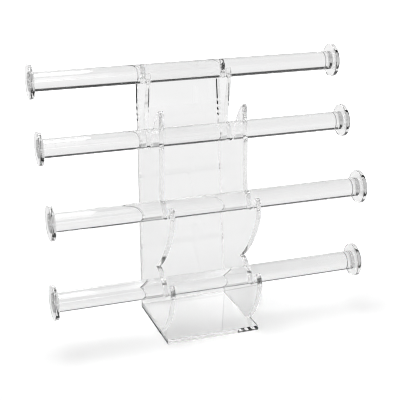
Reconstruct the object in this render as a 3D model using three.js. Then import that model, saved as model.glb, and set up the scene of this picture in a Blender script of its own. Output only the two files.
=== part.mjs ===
// Clear acrylic jewelry stand with four lift-out rods.
// Millimetres, +Z up, the front of the stand faces -Y, +X to the right seen from the front.
// Origin: middle of the underside of the base plate.
import * as THREE from 'three';

// ---- driving dimensions ---------------------------------------------------
const SHEET = 5;                 // thickness of the base, the panel and the side plates
const GAP = 0.3;                 // clearance at every joint between two pieces

const BASE_WIDTH = 101;          // along X
const BASE_DEPTH = 96;           // along Y

const LEAN = THREE.MathUtils.degToRad(4.4);   // the back panel leans back by this much
const TOE = THREE.MathUtils.degToRad(0.9);    // each side plate leans inwards by this much
const PANEL_HEIGHT = 262;        // along the slope of the panel

const ROD_DIAMETER = 20;
const DISC_DIAMETER = 35;
const DISC_THICKNESS = 4;
const DISC_EDGE = 0.4;           // small broken edge of a disc

const TOP_SEAT_RADIUS = 11;      // the seat of the top rod hugs it
const SEAT_RADIUS = 14.5;        // the three lower seats are wider U shapes

// Each rod: distance of its axis in front of the rear edge of the base, height of its
// axis above the table, how far along X it happens to lie in its loose seats, and its
// length over both end discs.
const RODS = [
  { name: 'rod_1', forward: 5.5, height: 265.2, along: 3.5, length: 335 },
  { name: 'rod_2', forward: 24.5, height: 201.4, along: 7.7, length: 339 },
  { name: 'rod_3', forward: 80.0, height: 142.6, along: 3.5, length: 336 },
  { name: 'rod_4', forward: 82.5, height: 59.4, along: 1.4, length: 334 },
];

const ROUND_STEPS = 48;          // facets round a rod or a disc
const CURVE_STEPS = 3;           // facets per control point of a side plate's outline
const SEAT_STEPS = 18;           // facets round the half circle of a seat

// ---- helpers --------------------------------------------------------------
const rear = BASE_DEPTH / 2;             // Y of the base's rear edge
const onBase = SHEET + GAP;              // Z at which the upright pieces start

function clearAcrylic(tint) {
  return new THREE.MeshStandardMaterial({ color: tint, roughness: 0.06, metalness: 0 });
}

function piece(name, geometry, tint) {
  const mesh = new THREE.Mesh(geometry, clearAcrylic(tint));
  mesh.name = name;
  return mesh;
}

const stand = new THREE.Group();
stand.name = 'jewelry_stand';

// ---- base plate -----------------------------------------------------------
{
  const base = piece('base_plate', new THREE.BoxGeometry(BASE_WIDTH, BASE_DEPTH, SHEET), 0xe6e8ea);
  base.position.set(0, 0, SHEET / 2);
  stand.add(base);
}

// ---- back panel: a tapering sheet behind the two side plates ----------------
{
  const half = BASE_WIDTH / 2;
  const topHalf = half - PANEL_HEIGHT * Math.cos(LEAN) * Math.tan(TOE);
  const shape = new THREE.Shape();
  shape.moveTo(-half, 0);
  shape.lineTo(half, 0);
  shape.lineTo(topHalf, PANEL_HEIGHT);
  shape.lineTo(-topHalf, PANEL_HEIGHT);
  shape.closePath();
  const panel = piece('back_panel', new THREE.ExtrudeGeometry(shape, { depth: SHEET, bevelEnabled: false }), 0xeceeef);
  panel.rotation.x = Math.PI / 2 - LEAN;
  panel.position.set(0, rear, onBase);
  stand.add(panel);
}

// ---- side plates: four upturned hooks, one below the other -------------------
// The outline is drawn as (forward, height) and turned into the plate's own plane.
function sidePlateShape() {
  const at = (forward, height) => new THREE.Vector2(rear - forward, height - onBase);
  const through = (shape, points) => shape.splineThru(points.map(([f, h]) => at(f, h)));
  const seat = (shape, rod, radius) => {
    // half circle, from the rear wall round the bottom to the front wall
    const centre = at(rod.forward, rim(rod, radius));
    for (let i = 1; i <= SEAT_STEPS; i++) {
      const turn = (Math.PI * i) / SEAT_STEPS;
      shape.lineTo(centre.x + radius * Math.cos(turn), centre.y - radius * Math.sin(turn));
    }
  };
  const rim = (rod, radius) => rod.height - ROD_DIAMETER / 2 - GAP + radius;
  const behind = (height) => SHEET / Math.cos(LEAN) + GAP - Math.tan(LEAN) * (height - onBase);
  const [one, two, three, four] = RODS;
  const rim1 = rim(one, TOP_SEAT_RADIUS);
  const rim2 = rim(two, SEAT_RADIUS);
  const rim3 = rim(three, SEAT_RADIUS);
  const rim4 = rim(four, SEAT_RADIUS);

  const shape = new THREE.Shape();
  const foot = at(behind(onBase), onBase);
  shape.moveTo(foot.x, foot.y);
  const shoulder = at(behind(251), 251);
  shape.lineTo(shoulder.x, shoulder.y);
  // rounded shoulder up to the rear rim of the top seat
  through(shape, [[-12.6, 256.2], [-10.6, 259.6], [-7.8, 263.2], [-5.5, rim1]]);
  seat(shape, one, TOP_SEAT_RADIUS);
  // front lip of the top seat and the neck below it
  through(shape, [[17.0, rim1 + 1.5], [18.4, rim1 + 1.6], [19.4, 264.6], [19.8, 259], [19.3, 252.5],
    [16.0, 241], [12.8, 231], [10.8, 219], [two.forward - SEAT_RADIUS, rim2]]);
  seat(shape, two, SEAT_RADIUS);
  // tall horn in front of the second seat
  through(shape, [[41.0, 213], [44.5, 219.5], [49.8, 227.3], [56.1, 234.6], [60.6, 238.6], [62.7, 237.2],
    [63.6, 230], [65.0, 210], [65.4, 190], [65.0, 168], [three.forward - SEAT_RADIUS, rim3]]);
  seat(shape, three, SEAT_RADIUS);
  // third hook: rounded tip, then a long curve back under it to a sharp notch
  through(shape, [[95.2, rim3 + 1.7], [97.2, rim3 + 2.3], [99.2, rim3 + 1.1], [101.2, 143.5], [101.8, 137.5],
    [100.4, 128.5], [96.6, 119.5], [91.2, 110], [85.0, 101], [77.6, 91.3], [69.2, 82.6], [62.0, 76.0], [55.5, 71.0]]);
  // rear wall of the fourth seat
  through(shape, [[60.5, 70.6], [65.0, 68.6], [67.3, 66.2], [four.forward - SEAT_RADIUS, rim4]]);
  seat(shape, four, SEAT_RADIUS);
  // fourth hook, down to the base
  through(shape, [[97.8, rim4 + 2.2], [100.0, rim4 + 3.1], [102.6, rim4 + 1.8], [104.6, 60.5], [104.8, 54],
    [102.8, 45.5], [97.4, 33], [89.4, 20.5], [81.0, 11], [75.5, onBase]]);
  shape.closePath();
  return shape;
}

{
  // the drawing plane (x, y, extrusion) becomes (Y, Z, X)
  const upright = new THREE.Matrix4().makeBasis(
    new THREE.Vector3(0, 1, 0), new THREE.Vector3(0, 0, 1), new THREE.Vector3(1, 0, 0));
  const outline = sidePlateShape();
  for (const [name, side] of [['side_plate_left', -1], ['side_plate_right', 1]]) {
    const geometry = new THREE.ExtrudeGeometry(outline, { depth: SHEET, bevelEnabled: false, curveSegments: CURVE_STEPS });
    if (side > 0) geometry.translate(0, 0, -SHEET);
    geometry.applyMatrix4(upright);
    const plate = piece(name, geometry, 0xeaecee);
    plate.rotation.y = -side * TOE;
    plate.position.set(side * BASE_WIDTH / 2, 0, onBase);
    stand.add(plate);
  }
}

// ---- rods: a solid bar with a disc bonded on each end ------------------------
function turned(profile) {
  const geometry = new THREE.LatheGeometry(profile.map(([r, along]) => new THREE.Vector2(r, along)), ROUND_STEPS);
  geometry.rotateZ(-Math.PI / 2);          // the turning axis becomes X
  return geometry;
}

for (const rod of RODS) {
  const group = new THREE.Group();
  group.name = rod.name;
  group.position.set(rod.along, rear - rod.forward, rod.height);

  const barHalf = rod.length / 2 - DISC_THICKNESS - GAP;
  const r = ROD_DIAMETER / 2;
  group.add(piece(`${rod.name}_bar`, turned([[0, -barHalf], [r, -barHalf], [r, barHalf], [0, barHalf]]), 0xe4e6e8));

  const R = DISC_DIAMETER / 2;
  const t = DISC_THICKNESS / 2;
  const disc = [[0, -t], [R - DISC_EDGE, -t], [R, -t + DISC_EDGE], [R, t - DISC_EDGE], [R - DISC_EDGE, t], [0, t]];
  for (const [end, side] of [['left', -1], ['right', 1]]) {
    const mesh = piece(`${rod.name}_disc_${end}`, turned(disc), 0xe0e3e6);
    mesh.position.x = side * (rod.length / 2 - t);
    group.add(mesh);
  }
  stand.add(group);
}

export default stand;
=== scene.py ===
import math

import bmesh
import bpy
from mathutils import Matrix, Vector


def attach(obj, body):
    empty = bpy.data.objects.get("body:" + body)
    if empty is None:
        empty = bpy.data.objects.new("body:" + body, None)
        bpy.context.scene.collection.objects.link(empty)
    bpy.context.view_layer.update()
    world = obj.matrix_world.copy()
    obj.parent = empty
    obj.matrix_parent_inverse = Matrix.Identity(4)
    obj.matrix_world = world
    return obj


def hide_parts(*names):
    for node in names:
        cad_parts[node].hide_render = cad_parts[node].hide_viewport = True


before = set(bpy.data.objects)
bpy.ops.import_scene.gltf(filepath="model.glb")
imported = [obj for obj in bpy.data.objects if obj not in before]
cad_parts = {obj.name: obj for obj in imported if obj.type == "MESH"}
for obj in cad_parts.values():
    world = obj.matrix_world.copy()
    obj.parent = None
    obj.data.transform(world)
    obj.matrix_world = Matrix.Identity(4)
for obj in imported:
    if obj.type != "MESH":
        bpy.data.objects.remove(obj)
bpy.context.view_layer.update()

# ---- sizes of the stand, millimetres, as in the CAD source --------------------
MM = 0.001
SHEET, GAP = 5.0, 0.3
BASE_WIDTH, BASE_DEPTH = 101.0, 96.0
LEAN, TOE = math.radians(4.4), math.radians(0.9)
PANEL_HEIGHT = 262.0
ROD_R = 10.0
DISC_R, DISC_T = 17.5, 4.0
TOP_SEAT_R, SEAT_R = 11.0, 14.5
RODS = [  # name, forward of the rear edge, height, along X, length over the discs
    ("rod_1", 5.5, 265.2, 3.5, 335.0),
    ("rod_2", 24.5, 201.4, 7.7, 339.0),
    ("rod_3", 80.0, 142.6, 3.5, 336.0),
    ("rod_4", 82.5, 59.4, 1.4, 334.0),
]
REAR = BASE_DEPTH / 2
ON_BASE = SHEET + GAP

scene = bpy.context.scene


# ---- mesh helpers --------------------------------------------------------------
def finish_mesh(name, verts, faces, sharp_deg=12.0):
    """A mesh object from millimetre points: normals out, smooth faces, edges above sharp_deg kept crisp."""
    me = bpy.data.meshes.new(name)
    me.from_pydata([tuple(c * MM for c in v) for v in verts], [], faces)
    bm = bmesh.new()
    bm.from_mesh(me)
    bmesh.ops.remove_doubles(bm, verts=bm.verts, dist=1e-7)
    bmesh.ops.recalc_face_normals(bm, faces=bm.faces)
    for f in bm.faces:
        f.smooth = True
    for e in bm.edges:
        if len(e.link_faces) == 2 and e.calc_face_angle(0.0) > math.radians(sharp_deg):
            e.smooth = False
    bm.to_mesh(me)
    bm.free()
    ob = bpy.data.objects.new(name, me)
    scene.collection.objects.link(ob)
    return ob


def lathe(name, profile, along, y, z, steps):
    """Turns (x, radius) points about a line along X."""
    verts, faces, n = [], [], len(profile)
    rings = []
    for x, r in profile:
        if r < 1e-6:
            rings.append([len(verts)])
            verts.append((along + x, y, z))
        else:
            rings.append(list(range(len(verts), len(verts) + steps)))
            for k in range(steps):
                t = 2 * math.pi * k / steps
                verts.append((along + x, y + r * math.cos(t), z + r * math.sin(t)))
    for a, b in zip(rings, rings[1:]):
        for k in range(steps):
            j = (k + 1) % steps
            if len(a) == 1:
                faces.append((a[0], b[k], b[j]))
            elif len(b) == 1:
                faces.append((a[k], b[0], a[j]))
            else:
                faces.append((a[k], b[k], b[j], a[j]))
    return finish_mesh(name, verts, faces)


def offset_in(loop, d):
    """The closed loop (x, y), counter-clockwise, moved inwards by d with mitred corners."""
    n, out = len(loop), []
    for i in range(n):
        (ax, ay), (bx, by), (cx, cy) = loop[i - 1], loop[i], loop[(i + 1) % n]
        ux, uy, vx, vy = bx - ax, by - ay, cx - bx, cy - by
        lu, lv = math.hypot(ux, uy) or 1e-9, math.hypot(vx, vy) or 1e-9
        n1, n2 = (-uy / lu, ux / lu), (-vy / lv, vx / lv)
        mx, my = n1[0] + n2[0], n1[1] + n2[1]
        ml = math.hypot(mx, my) or 1e-9
        mx, my = mx / ml, my / ml
        cosh = max(0.35, mx * n1[0] + my * n1[1])
        out.append((bx + mx * d / cosh, by + my * d / cosh))
    return out


def polished(loop, step, depth):
    """The closed loop in short steps, with the slow waves that flame polishing leaves on a cut edge; corners stay where they are."""
    n, out, run = len(loop), [], 0.0
    corner = []
    for i in range(n):
        (ax, ay), (bx, by), (cx, cy) = loop[i - 1], loop[i], loop[(i + 1) % n]
        bend = abs(math.atan2((bx - ax) * (cy - by) - (by - ay) * (cx - bx), (bx - ax) * (cx - bx) + (by - ay) * (cy - by)))
        corner.append(bend > math.radians(20))
    sharp = [p for p, c in zip(loop, corner) if c]
    for i in range(n):
        (ax, ay), (bx, by) = loop[i], loop[(i + 1) % n]
        length = math.hypot(bx - ax, by - ay)
        parts = max(1, math.ceil(length / step))
        for k in range(parts):
            f = k / parts
            x, y, at = ax + (bx - ax) * f, ay + (by - ay) * f, run + length * f
            wave = 0.5 * math.sin(at / 5.1 * 2 * math.pi + 0.7) + 0.9 * math.sin(at / 8.3 * 2 * math.pi + 2.1) + 0.8 * math.sin(at / 14.9 * 2 * math.pi)
            near = min((math.hypot(x - p[0], y - p[1]) for p in sharp), default=9.0)
            wave *= depth * min(1.0, near / 3.0)
            nx, ny = (by - ay) / (length or 1e-9), -(bx - ax) / (length or 1e-9)
            out.append((x + wave * nx, y + wave * ny))
        run += length
    return out


def sheet_piece(name, loop, place, edge=0.35, thick=SHEET, waves=0.0):
    """A sheet cut to a closed loop, with a small polished round along both rims. place(x, y, t) gives the point in the frame."""
    area = sum(a[0] * b[1] - b[0] * a[1] for a, b in zip(loop, loop[1:] + loop[:1]))
    if area < 0:
        loop = loop[::-1]
    if waves > 0:
        loop = polished(loop, 0.8, waves)
    n = len(loop)
    cuts = []  # (inset, depth)
    arc = 3
    for i in range(arc + 1):
        t = math.pi / 2 * i / arc
        cuts.append((edge * (1 - math.sin(t)), edge * (1 - math.cos(t))))
    cuts += [(inset, thick - depth) for inset, depth in reversed(cuts)]
    verts, faces = [], []
    for inset, depth in cuts:
        ring = offset_in(loop, inset) if inset > 1e-9 else loop
        verts += [place(x, y, depth) for x, y in ring]
    for c in range(len(cuts) - 1):
        a, b = c * n, (c + 1) * n
        for i in range(n):
            j = (i + 1) % n
            faces.append((a + i, a + j, b + j, b + i))
    faces.append(tuple(range(n - 1, -1, -1)))
    last = (len(cuts) - 1) * n
    faces.append(tuple(range(last, last + n)))
    return finish_mesh(name, verts, faces)


# ---- the outline of a side plate, (forward, height) ----------------------------
CURVE_STEPS, SEAT_STEPS = 10, 64


def spline(path, points):
    """Goes on from the last point of path through points on one smooth curve."""
    pts = [path[-1]] + points
    n = len(pts)
    for s in range(n - 1):
        p1, p2 = pts[s], pts[s + 1]
        p0 = pts[s - 1] if s > 0 else p1
        p3 = pts[s + 2] if s + 2 < n else p2
        for i in range(1, CURVE_STEPS + 1):
            t = i / CURVE_STEPS
            q = []
            for k in (0, 1):
                v0, v1 = (p2[k] - p0[k]) * 0.5, (p3[k] - p1[k]) * 0.5
                q.append(
                    (2 * p1[k] - 2 * p2[k] + v0 + v1) * t**3
                    + (-3 * p1[k] + 3 * p2[k] - 2 * v0 - v1) * t**2
                    + v0 * t
                    + p1[k]
                )
            path.append(tuple(q))


def side_outline():
    def behind(h):
        return SHEET / math.cos(LEAN) + GAP - math.tan(LEAN) * (h - ON_BASE)

    def rim(i, radius):
        return RODS[i][2] - ROD_R - GAP + radius

    def seat(path, i, radius):
        f, h = RODS[i][1], rim(i, radius)
        for k in range(1, SEAT_STEPS + 1):
            t = math.pi * k / SEAT_STEPS
            path.append((f - radius * math.cos(t), h - radius * math.sin(t)))

    rim1, rim2, rim3, rim4 = rim(0, TOP_SEAT_R), rim(1, SEAT_R), rim(2, SEAT_R), rim(3, SEAT_R)
    path = [(behind(ON_BASE), ON_BASE), (behind(251.0), 251.0)]
    spline(path, [(-12.6, 256.2), (-10.6, 259.6), (-7.8, 263.2), (-5.5, rim1)])
    seat(path, 0, TOP_SEAT_R)
    spline(path, [(17.0, rim1 + 1.5), (18.4, rim1 + 1.6), (19.4, 264.6), (19.8, 259.0), (19.3, 252.5),
                  (16.0, 241.0), (12.8, 231.0), (10.8, 219.0), (RODS[1][1] - SEAT_R, rim2)])
    seat(path, 1, SEAT_R)
    spline(path, [(41.0, 213.0), (44.5, 219.5), (49.8, 227.3), (56.1, 234.6), (60.6, 238.6), (62.7, 237.2),
                  (63.6, 230.0), (65.0, 210.0), (65.4, 190.0), (65.0, 168.0), (RODS[2][1] - SEAT_R, rim3)])
    seat(path, 2, SEAT_R)
    spline(path, [(95.2, rim3 + 1.7), (97.2, rim3 + 2.3), (99.2, rim3 + 1.1), (101.2, 143.5), (101.8, 137.5),
                  (100.4, 128.5), (96.6, 119.5), (91.2, 110.0), (85.0, 101.0), (77.6, 91.3), (69.2, 82.6),
                  (62.0, 76.0), (55.5, 71.0)])
    spline(path, [(60.5, 70.6), (65.0, 68.6), (67.3, 66.2), (RODS[3][1] - SEAT_R, rim4)])
    seat(path, 3, SEAT_R)
    spline(path, [(97.8, rim4 + 2.2), (100.0, rim4 + 3.1), (102.6, rim4 + 1.8), (104.6, 60.5), (104.8, 54.0),
                  (102.8, 45.5), (97.4, 33.0), (89.4, 20.5), (81.0, 11.0), (75.5, ON_BASE)])
    return path


# ---- materials: clear acrylic ---------------------------------------------------
def node(tree, kind, **values):
    n = tree.nodes.new(kind)
    for k, v in values.items():
        if k in n.inputs:
            n.inputs[k].default_value = v
        else:
            setattr(n, k, v)
    return n


def acrylic(name, tint, haze, smear_scale, ripple, density, dull=0.0):
    """Clear cast acrylic: faint colour drift, wiping haze in the gloss, and the slow ripple of a polished surface."""
    m = bpy.data.materials.new(name)
    m.use_nodes = True
    nt = m.node_tree
    nt.nodes.clear()
    out = node(nt, "ShaderNodeOutputMaterial")
    p = node(nt, "ShaderNodeBsdfPrincipled")
    p.inputs["Transmission Weight"].default_value = 1.0
    p.inputs["IOR"].default_value = 1.49
    nt.links.new(p.outputs["BSDF"], out.inputs["Surface"])
    co = node(nt, "ShaderNodeTexCoord")

    drift = node(nt, "ShaderNodeTexNoise", Scale=14.0, Detail=2.0)
    nt.links.new(co.outputs["Object"], drift.inputs["Vector"])
    ramp = node(nt, "ShaderNodeValToRGB")
    lo, hi = ramp.color_ramp.elements
    lo.position, hi.position = 0.3, 0.7
    lo.color = tuple(c * 0.994 for c in tint) + (1,)
    hi.color = tuple(min(1, c * 1.004) for c in tint) + (1,)
    nt.links.new(drift.outputs["Fac"], ramp.inputs["Fac"])
    nt.links.new(ramp.outputs["Color"], p.inputs["Base Color"])

    smear = node(nt, "ShaderNodeTexNoise", Scale=smear_scale, Detail=4.0, Roughness=0.6)
    stretch = node(nt, "ShaderNodeMapping")
    stretch.inputs["Scale"].default_value = (0.4, 1.0, 2.2)
    nt.links.new(co.outputs["Object"], stretch.inputs["Vector"])
    nt.links.new(stretch.outputs["Vector"], smear.inputs["Vector"])
    rough = node(nt, "ShaderNodeMapRange")
    rough.inputs["From Min"].default_value = 0.45
    rough.inputs["From Max"].default_value = 0.8
    rough.inputs["To Min"].default_value = dull
    rough.inputs["To Max"].default_value = haze
    nt.links.new(smear.outputs["Fac"], rough.inputs["Value"])
    nt.links.new(rough.outputs["Result"], p.inputs["Roughness"])

    wave = node(nt, "ShaderNodeTexNoise", Scale=55.0, Detail=1.0)
    nt.links.new(co.outputs["Object"], wave.inputs["Vector"])
    bump = node(nt, "ShaderNodeBump")
    bump.inputs["Strength"].default_value = 1.0
    bump.inputs["Distance"].default_value = ripple
    nt.links.new(wave.outputs["Fac"], bump.inputs["Height"])
    nt.links.new(bump.outputs["Normal"], p.inputs["Normal"])

    if density > 0:
        vol = node(nt, "ShaderNodeVolumeAbsorption")
        vol.inputs["Color"].default_value = (0.9, 0.9, 0.9, 1)
        vol.inputs["Density"].default_value = density
        nt.links.new(vol.outputs["Volume"], out.inputs["Volume"])
    return m


SHEET_TINT, ROD_TINT = (0.996, 0.996, 0.996), (0.996, 0.996, 0.996)
sheet_mat = acrylic("acrylic_sheet", SHEET_TINT, 0.02, 60.0, 0.00001, 4.0)
panel_mat = acrylic("acrylic_panel", SHEET_TINT, 0.02, 45.0, 0.00001, 4.0)
plate_mat = acrylic("acrylic_side_plate", SHEET_TINT, 0.02, 60.0, 0.000004, 4.0)
rod_mat = acrylic("acrylic_rod", ROD_TINT, 0.02, 80.0, 0.00001, 4.0)
edge_mat = acrylic("acrylic_cut_edge", SHEET_TINT, 0.14, 400.0, 0.000004, 4.0, 0.06)
disc_mat = acrylic("acrylic_disc", ROD_TINT, 0.02, 90.0, 0.00001, 4.0)


def cement(name):
    """The thin, almost clear film that joins a bar to a disc, clouded in places."""
    m = bpy.data.materials.new(name)
    m.use_nodes = True
    nt = m.node_tree
    p = nt.nodes["Principled BSDF"]
    p.inputs["Roughness"].default_value = 0.5
    co = node(nt, "ShaderNodeTexCoord")
    cloud = node(nt, "ShaderNodeTexNoise", Scale=420.0, Detail=3.0, Roughness=0.6)
    nt.links.new(co.outputs["Object"], cloud.inputs["Vector"])
    tone = node(nt, "ShaderNodeValToRGB")
    lo, hi = tone.color_ramp.elements
    lo.position, hi.position = 0.35, 0.65
    lo.color, hi.color = (0.30, 0.30, 0.30, 1), (0.75, 0.75, 0.75, 1)
    nt.links.new(cloud.outputs["Fac"], tone.inputs["Fac"])
    nt.links.new(tone.outputs["Color"], p.inputs["Base Color"])
    film = node(nt, "ShaderNodeMapRange")
    film.inputs["From Min"].default_value = 0.35
    film.inputs["From Max"].default_value = 0.7
    film.inputs["To Min"].default_value = 0.02
    film.inputs["To Max"].default_value = 0.06
    nt.links.new(cloud.outputs["Fac"], film.inputs["Value"])
    nt.links.new(film.outputs["Result"], p.inputs["Alpha"])
    return m


bond_mat = cement("acrylic_cement")


def painted_shade_material(name, dark, light):
    """Painted shade: a near-black, mottled colour that stands in for the dark look of a stretch of joint or edge."""
    m = bpy.data.materials.new(name)
    m.use_nodes = True
    nt = m.node_tree
    p = nt.nodes["Principled BSDF"]
    p.inputs["Roughness"].default_value = 0.55
    p.inputs["Specular IOR Level"].default_value = 0.0
    co = node(nt, "ShaderNodeTexCoord")
    shade_mottle = node(nt, "ShaderNodeTexNoise", Scale=300.0, Detail=3.0, Roughness=0.6)
    nt.links.new(co.outputs["Object"], shade_mottle.inputs["Vector"])
    tone = node(nt, "ShaderNodeValToRGB")
    lo, hi = tone.color_ramp.elements
    lo.position, hi.position = 0.35, 0.65
    lo.color, hi.color = (dark, dark, dark, 1), (light, light, light, 1)
    nt.links.new(shade_mottle.outputs["Fac"], tone.inputs["Fac"])
    nt.links.new(tone.outputs["Color"], p.inputs["Base Color"])
    return m


# painted shade: near-black colours for the dark stretches of the back joints and for the base's side ends
joint_painted_shade_mat = painted_shade_material("acrylic_joint_painted_shade", 0.02, 0.10)
edge_painted_shade_mat = painted_shade_material("acrylic_edge_painted_shade", 0.01, 0.12)


def mark(ob, material, test):
    """Gives a material to the faces whose middle and normal pass the test."""
    ob.data.materials.append(material)
    for face in ob.data.polygons:
        if test(face.center / MM, face.normal):
            face.material_index = len(ob.data.materials) - 1


PAINTED_SHADE_SPANS = ((229.0, 250.0), (222.5, 226.5), (216.5, 219.0), (211.0, 213.0))  # heights where the back joints took no cement and get painted shade


def in_painted_shade_span(z):
    return any(a < z < b for a, b in PAINTED_SHADE_SPANS)


def cut(ob, planes):
    """Cuts the faces of a mesh along planes (point, normal), in millimetres, without moving anything."""
    bm = bmesh.new()
    bm.from_mesh(ob.data)
    for at, normal in planes:
        bmesh.ops.bisect_plane(bm, geom=bm.verts[:] + bm.edges[:] + bm.faces[:], dist=1e-7, plane_co=Vector(at) * MM, plane_no=Vector(normal))
    bm.to_mesh(ob.data)
    bm.free()


# ---- base plate -----------------------------------------------------------------
half_w, half_d = BASE_WIDTH / 2, BASE_DEPTH / 2
base = sheet_piece(
    "base_sheet",
    [(-half_w, -half_d), (half_w, -half_d), (half_w, half_d), (-half_w, half_d)],
    lambda x, y, t: (x, y, t),
    edge=0.15,
    waves=0.012,
)
base.data.materials.append(sheet_mat)
# painted shade: the lower half of the side ends, except the front of the left end, is coloured near black
cut(base, [((0, 0, 2.3), (0, 0, 1))])
mark(base, edge_painted_shade_mat, lambda c, n: abs(n.x) > 0.95 and c.z < 2.3 and (n.x > 0 or c.y > -24))
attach(base, "stand")
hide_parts("base_plate")

# ---- back panel -----------------------------------------------------------------
top_half = half_w - PANEL_HEIGHT * math.cos(LEAN) * math.tan(TOE)


def on_panel(x, s, t):
    """x across, s up the slope, t from the back face to the front."""
    return (x, REAR + s * math.sin(LEAN) - t * math.cos(LEAN), ON_BASE + s * math.cos(LEAN) + t * math.sin(LEAN))


panel = sheet_piece(
    "back_panel_sheet",
    [(-half_w, 0), (half_w, 0), (top_half, PANEL_HEIGHT), (-top_half, PANEL_HEIGHT)],
    on_panel,
    edge=0.1,
    waves=0.012,
)
panel.data.materials.append(panel_mat)
# painted shade: the panel's left side edge is coloured near black along the joint's dark stretches
mark(panel, joint_painted_shade_mat, lambda c, n: n.x < -0.95 and in_painted_shade_span(c.z))
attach(panel, "stand")
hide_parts("back_panel")

# ---- side plates ----------------------------------------------------------------
outline = [(REAR - f, h - ON_BASE) for f, h in side_outline()]


def on_plate(side):
    c, s = math.cos(TOE), math.sin(TOE)

    def place(y, z, t):
        # t runs inwards from the outer face; the plate leans inwards by TOE about its outer foot line
        x = -t
        return (side * (half_w + x * c - z * s), y, ON_BASE + z * c + x * s)

    return place


for side, word in ((-1, "left"), (1, "right")):
    plate = sheet_piece("side_sheet_" + word, outline, on_plate(side), edge=0.1, waves=0.02)
    plate.data.materials.append(plate_mat)
    mark(plate, edge_mat, lambda c, n: abs(n.x) < 0.5)
    if side > 0:
        # painted shade: the strip beside the back joint, on the inner face, narrower further down, is coloured near
        # black along the joint's dark stretches
        turn = LEAN + math.radians(3.2)
        slope = Vector((0, math.cos(turn), -math.sin(turn)))
        top_at = Vector((0, REAR - SHEET / math.cos(LEAN) - GAP + math.tan(LEAN) * (250.0 - ON_BASE) - 3.2, 250.0))
        cut(plate, [(top_at, slope)] + [((0, 0, z), (0, 0, 1)) for span in PAINTED_SHADE_SPANS for z in span])
        mark(plate, joint_painted_shade_mat, lambda c, n: n.x < -0.95 and (c - top_at).dot(slope) > 0 and in_painted_shade_span(c.z))
    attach(plate, "stand")
    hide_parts("side_plate_" + word)


# ---- rods: a bar with a disc bonded on each end -----------------------------------
BOND = 0.01        # thickness of the cement between a bar and a disc
BAR_CHAMFER = 0.55
DISC_EDGE = 0.45   # polished round of a disc's rim


def quarter(cx, cy, radius, start, steps=6):
    """A quarter turn, clockwise from start degrees."""
    return [(cx + radius * math.cos(math.radians(start - 90 * i / steps)), cy + radius * math.sin(math.radians(start - 90 * i / steps)))
            for i in range(steps + 1)]


def bonded(ob, y, z, facing):
    """Gives the cement material to the round patch on the end faces that look along facing."""
    for face in ob.data.polygons:
        far = max(math.hypot(ob.data.vertices[v].co.y - y * MM, ob.data.vertices[v].co.z - z * MM) for v in face.vertices)
        if face.normal.x * facing > 0.9 and far < (ROD_R - BAR_CHAMFER + 0.05) * MM:
            face.material_index = 1


for name, forward, height, along, length in RODS:
    y, half = REAR - forward, length / 2
    end = half - DISC_T - BOND
    bar = lathe(name + "_bar_turned",
                [(-end, 0.0), (-end, ROD_R - BAR_CHAMFER), (-end + BAR_CHAMFER, ROD_R), (end - BAR_CHAMFER, ROD_R), (end, ROD_R - BAR_CHAMFER), (end, 0.0)],
                along, y, height, 160)
    bar.data.materials.append(rod_mat)
    bar.data.materials.append(bond_mat)
    bonded(bar, y, height, 1)
    bonded(bar, y, height, -1)
    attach(bar, name)
    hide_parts(name + "_bar")
    for side, word in ((-1, "left"), (1, "right")):
        t, e = DISC_T / 2, DISC_EDGE
        patch = [(-t * side, ROD_R - BAR_CHAMFER)]
        profile = [(-t, 0.0)] + (patch if side > 0 else []) + quarter(-t + e, DISC_R - e, e, 180) + quarter(t - e, DISC_R - e, e, 90)
        profile += (patch if side < 0 else []) + [(t, 0.0)]
        disc = lathe("%s_disc_%s_turned" % (name, word), profile, along + side * (half - t), y, height, 160)
        disc.data.materials.append(disc_mat)
        disc.data.materials.append(bond_mat)
        bonded(disc, y, height, -side)
        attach(disc, name)
        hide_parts("%s_disc_%s" % (name, word))

# ---- floor ------------------------------------------------------------------------
FLOOR_Z = -0.00002
KEY_AT, KEY_SIZE = (-0.29, 0.01, 1.05), 0.74  # the overhead light
KEY_SHARE = 0.56     # what it adds to the floor at its foot
SWEEP = 0.928       # radiance of the lit floor
PAPER = 1.26          # and how much brighter it is printed where it is bare
FLOOR_ALBEDO = 0.6
UNDER_SHARE = 0.05
CARD_Y, CARD_TOP, CARD_SHARE = 0.92, 0.67, 0.27  # the backdrop: where it stands, how high it is lit, what it adds at its foot
CARD_STEP, CARD_LOW = -0.20, 0.25
SWEEP_SLANT, SWEEP_LEFT, SWEEP_RIGHT, SWEEP_REST = 0.355, -3.0, 0.55, 0.95
me = bpy.data.meshes.new("floor")
bm = bmesh.new()
bmesh.ops.create_grid(bm, x_segments=8, y_segments=8, size=6.0)
bm.to_mesh(me)
bm.free()
floor = bpy.data.objects.new("floor", me)
floor.location = (0, 0, FLOOR_Z)
scene.collection.objects.link(floor)
fm = bpy.data.materials.new("pale_floor")
fm.use_nodes = True
nt = fm.node_tree
nt.nodes.clear()
out = node(nt, "ShaderNodeOutputMaterial")
geo = node(nt, "ShaderNodeNewGeometry")
sep = node(nt, "ShaderNodeSeparateXYZ")
nt.links.new(geo.outputs["Position"], sep.inputs["Vector"])


def ease(tree, value, start, end, lo, hi):
    n = node(tree, "ShaderNodeMapRange", interpolation_type="SMOOTHSTEP")
    for word, v in (("From Min", start), ("From Max", end), ("To Min", lo), ("To Max", hi)):
        n.inputs[word].default_value = v
    tree.links.new(value, n.inputs["Value"])
    return n.outputs["Result"]


def maths(tree, operation, a, b):
    n = node(tree, "ShaderNodeMath", operation=operation)
    for k, v in enumerate((a, b)):
        if isinstance(v, (int, float)):
            n.inputs[k].default_value = v
        else:
            tree.links.new(v, n.inputs[k])
    return n.outputs["Value"]


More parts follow.
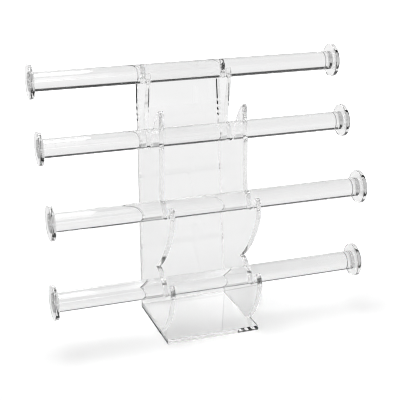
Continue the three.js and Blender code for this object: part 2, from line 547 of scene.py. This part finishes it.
# the lit paper sweep is a strip: it ends in front of the stand and on both sides, beyond the picture
path = node(nt, "ShaderNodeLightPath")
across = maths(nt, "SUBTRACT", sep.outputs["X"], maths(nt, "MULTIPLY", maths(nt, "MAXIMUM", sep.outputs["Y"], 0.0), 0.65))
lit = maths(nt, "MULTIPLY", ease(nt, sep.outputs["Y"], -0.68, -0.52, SWEEP_REST, 1.0), ease(nt, across, SWEEP_RIGHT, SWEEP_RIGHT + 0.3, 1.0, 0.6))
lit = maths(nt, "MULTIPLY", lit, ease(nt, across, SWEEP_LEFT - 0.1, SWEEP_LEFT, 0.04, 1.0))
lit = maths(nt, "MAXIMUM", lit, path.outputs["Is Camera Ray"])
# what the overhead light gives falls off round its foot; the glow makes up the rest, so that the sweep is even
foot = node(nt, "ShaderNodeVectorMath", operation="DISTANCE")
foot.inputs[1].default_value = (KEY_AT[0], KEY_AT[1], 0)
nt.links.new(geo.outputs["Position"], foot.inputs[0])
ratio = node(nt, "ShaderNodeMath", operation="DIVIDE")
ratio.inputs[1].default_value = KEY_AT[2]
nt.links.new(foot.outputs["Value"], ratio.inputs[0])
square = node(nt, "ShaderNodeMath", operation="MULTIPLY")
nt.links.new(ratio.outputs["Value"], square.inputs[0])
nt.links.new(ratio.outputs["Value"], square.inputs[1])
plus = node(nt, "ShaderNodeMath", operation="ADD")
plus.inputs[1].default_value = 1.0
nt.links.new(square.outputs["Value"], plus.inputs[0])
power = node(nt, "ShaderNodeMath", operation="POWER")
power.inputs[1].default_value = -2.0
nt.links.new(plus.outputs["Value"], power.inputs[0])
rest = node(nt, "ShaderNodeMath", operation="MULTIPLY_ADD")
rest.inputs[1].default_value = -KEY_SHARE
rest.inputs[2].default_value = SWEEP - 0.09
nt.links.new(power.outputs["Value"], rest.inputs[0])
# and the same for the light that the backdrop throws on the floor
away = maths(nt, "ABSOLUTE", maths(nt, "SUBTRACT", CARD_Y, sep.outputs["Y"]), 0.0)
slope = maths(nt, "DIVIDE", away, maths(nt, "SQRT", maths(nt, "ADD", maths(nt, "MULTIPLY", away, away), CARD_TOP**2), 0.0))
even = maths(nt, "ADD", rest.outputs["Value"], maths(nt, "MULTIPLY", maths(nt, "SUBTRACT", slope, 1.0), CARD_SHARE))
# the far floor is printed white, and under the stand the glow makes up for the light that the clear plates turn aside
even = maths(nt, "ADD", even, maths(nt, "MULTIPLY", path.outputs["Is Camera Ray"], ease(nt, sep.outputs["Y"], 0.3, 0.7, 0.0, 0.25)))
under = maths(nt, "MULTIPLY", ease(nt, sep.outputs["Y"], -0.030, 0.035, 0.0, 1.0), ease(nt, sep.outputs["Y"], 0.050, 0.075, 1.0, 0.0))
under = maths(nt, "MULTIPLY", under, ease(nt, maths(nt, "ABSOLUTE", sep.outputs["X"], 0.0), 0.050, 0.075, 1.0, 0.0))
even = maths(nt, "ADD", even, maths(nt, "MULTIPLY", under, UNDER_SHARE))
mul = node(nt, "ShaderNodeMath", operation="MULTIPLY")
nt.links.new(lit, mul.inputs[0])
nt.links.new(even, mul.inputs[1])
seen = node(nt, "ShaderNodeMapRange")  # the bare sweep is exposed as paper white
seen.inputs["To Min"].default_value = 1.0
seen.inputs["To Max"].default_value = PAPER
nt.links.new(path.outputs["Is Camera Ray"], seen.inputs["Value"])
mul2 = node(nt, "ShaderNodeMath", operation="MULTIPLY")
nt.links.new(mul.outputs["Value"], mul2.inputs[0])
nt.links.new(seen.outputs["Result"], mul2.inputs[1])
glow = node(nt, "ShaderNodeEmission")
glow.inputs["Color"].default_value = (1, 1, 1, 1)
nt.links.new(mul2.outputs["Value"], glow.inputs["Strength"])
matte = node(nt, "ShaderNodeBsdfDiffuse")
shade = node(nt, "ShaderNodeMath", operation="MULTIPLY")
shade.inputs[1].default_value = FLOOR_ALBEDO
nt.links.new(seen.outputs["Result"], shade.inputs[0])
nt.links.new(maths(nt, "MULTIPLY", shade.outputs["Value"], lit), matte.inputs["Color"])
add = node(nt, "ShaderNodeAddShader")
nt.links.new(glow.outputs["Emission"], add.inputs[0])
nt.links.new(matte.outputs["BSDF"], add.inputs[1])
nt.links.new(add.outputs["Shader"], out.inputs["Surface"])
floor.data.materials.append(fm)


# ---- light --------------------------------------------------------------------------
def softbox(name, at, aim, width, height, radiance):
    d = bpy.data.lights.new(name, "AREA")
    d.shape = "RECTANGLE"
    d.size, d.size_y = width, height
    d.energy = radiance * math.pi * width * height
    o = bpy.data.objects.new(name, d)
    o.location = at
    o.rotation_euler = (Vector(aim) - Vector(at)).to_track_quat("-Z", "Y").to_euler()
    o.visible_camera = False
    scene.collection.objects.link(o)
    return o


key_solid = KEY_SIZE**2 / KEY_AT[2] ** 2
softbox("key_overhead", KEY_AT, (KEY_AT[0], KEY_AT[1], 0), KEY_SIZE, KEY_SIZE, KEY_SHARE * math.pi / (FLOOR_ALBEDO * key_solid))
softbox("fill_overhead", (0.50, 0.05, 1.05), (0.5, 0.05, 0), 0.45, 0.30, 0.5)
for part, (left, right, radiance) in enumerate(((-0.45, 0.42, 3.9), (0.42, 0.57, 2.4), (0.57, 0.72, 1.0))):
    softbox("fill_front_%d" % part, ((left + right) / 2, -2.5, 0.56), ((left + right) / 2, 0, 0.56), right - left, 0.52, radiance)

# the backdrop stands close behind, so the lower rods see more of it than the upper ones
me = bpy.data.meshes.new("backdrop")
me.from_pydata([(-3, CARD_Y, 0), (3, CARD_Y, 0), (3, CARD_Y, 1.6), (-3, CARD_Y, 1.6)], [], [(0, 1, 2, 3)])
card = bpy.data.objects.new("backdrop", me)
card.visible_camera = False
scene.collection.objects.link(card)
cm = bpy.data.materials.new("pale_backdrop")
cm.use_nodes = True
nt = cm.node_tree
nt.nodes.clear()
out = node(nt, "ShaderNodeOutputMaterial")
geo = node(nt, "ShaderNodeNewGeometry")
sep = node(nt, "ShaderNodeSeparateXYZ")
nt.links.new(geo.outputs["Position"], sep.inputs["Vector"])
up = maths(nt, "ADD", ease(nt, sep.outputs["Z"], 0.0, CARD_TOP - 0.2, 0.03, 0.0), ease(nt, sep.outputs["Z"], CARD_TOP - 0.14, CARD_TOP + 0.04, 0.89, 0.03))
up = maths(nt, "MULTIPLY", up, ease(nt, sep.outputs["X"], 1.3, 2.4, 1.0, 0.6))
# on the left a dark gap parts its foot from what is lit above it
low = maths(nt, "ADD", sep.outputs["Z"], ease(nt, sep.outputs["X"], CARD_STEP - 0.05, CARD_STEP, 0.0, -0.6))
up = maths(nt, "MULTIPLY", up, ease(nt, low, CARD_LOW - 0.03, CARD_LOW + 0.03, 1.0, 0.0))
left = maths(nt, "MULTIPLY", ease(nt, sep.outputs["X"], CARD_STEP - 0.05, CARD_STEP, 1.0, 0.0), ease(nt, sep.outputs["X"], -0.44, -0.40, 0.0, 1.0))
up = maths(nt, "ADD", up, maths(nt, "MULTIPLY", left, ease(nt, sep.outputs["Z"], 0.47, 0.53, 0.0, 0.75)))
glow = node(nt, "ShaderNodeEmission")
glow.inputs["Color"].default_value = (1, 1, 1, 1)
nt.links.new(up, glow.inputs["Strength"])
nt.links.new(glow.outputs["Emission"], out.inputs["Surface"])
card.data.materials.append(cm)

world = bpy.data.worlds.new("studio")
scene.world = world
world.use_nodes = True
nt = world.node_tree
nt.nodes.clear()
out = node(nt, "ShaderNodeOutputWorld")
bg = node(nt, "ShaderNodeBackground")
bg.inputs["Color"].default_value = (1, 1, 1, 1)
co = node(nt, "ShaderNodeTexCoord")
sep = node(nt, "ShaderNodeSeparateXYZ")
nt.links.new(co.outputs["Generated"], sep.inputs["Vector"])
rise = node(nt, "ShaderNodeValToRGB")  # the white backdrop dims with height and ends
els = rise.color_ramp.elements
stops = [(0.0, 0.88), (0.14, 0.86), (0.26, 0.82), (0.375, 0.72), (0.45, 0.50), (0.53, 0.15), (1.0, 0.10)]
while len(els) < len(stops):
    els.new(0.5)
for e, (pos, v) in zip(els, stops):
    e.position = pos
    e.color = (v, v, v, 1)
nt.links.new(sep.outputs["Z"], rise.inputs["Fac"])
aside = maths(nt, "SUBTRACT", sep.outputs["X"], maths(nt, "MULTIPLY", sep.outputs["Y"], SWEEP_SLANT))
along = maths(nt, "ADD", sep.outputs["Y"], maths(nt, "MULTIPLY", sep.outputs["X"], SWEEP_SLANT))
turn = maths(nt, "ARCTAN2", aside, along)
width = ease(nt, turn, math.radians(32), math.radians(48), 1.0, 0.6)  # and so does the backdrop
width = maths(nt, "MULTIPLY", width, ease(nt, turn, math.radians(-85), math.radians(-70), 0.4, 1.0))
mul = node(nt, "ShaderNodeMath", operation="MULTIPLY")
nt.links.new(rise.outputs["Color"], mul.inputs[0])
nt.links.new(width, mul.inputs[1])
ray = node(nt, "ShaderNodeLightPath")  # seen past the floor it is plain and pale
nt.links.new(maths(nt, "MAXIMUM", mul.outputs["Value"], maths(nt, "MULTIPLY", ray.outputs["Is Camera Ray"], 0.98)), bg.inputs["Strength"])
nt.links.new(bg.outputs["Background"], out.inputs["Surface"])

# ---- camera -------------------------------------------------------------------------
AZ, EL, FOCAL_PX, DIST = math.radians(-19.58), math.radians(19.43), 988.55, 1.02168
TARGET = Vector((-0.00259, -0.012, 0.14073))
back = Vector((math.sin(AZ) * math.cos(EL), -math.cos(AZ) * math.cos(EL), math.sin(EL)))
cam = bpy.data.cameras.new("camera")
cam.sensor_width = 36.0
cam.lens = 36.0 * FOCAL_PX / 400.0
cam.clip_start, cam.clip_end = 0.01, 50.0
cam_ob = bpy.data.objects.new("camera", cam)
cam_ob.location = TARGET + back * DIST
cam_ob.rotation_euler = (-back).to_track_quat("-Z", "Y").to_euler()
scene.collection.objects.link(cam_ob)
scene.camera = cam_ob

# ---- picture settings -----------------------------------------------------------------
scene.view_settings.view_transform = "Standard"
scene.view_settings.look = "None"
scene.cycles.max_bounces = 40
scene.cycles.transmission_bounces = 40
scene.cycles.glossy_bounces = 24
scene.cycles.diffuse_bounces = 3
scene.cycles.filter_width = 1.0
scene.cycles.blur_glossy = 0.0
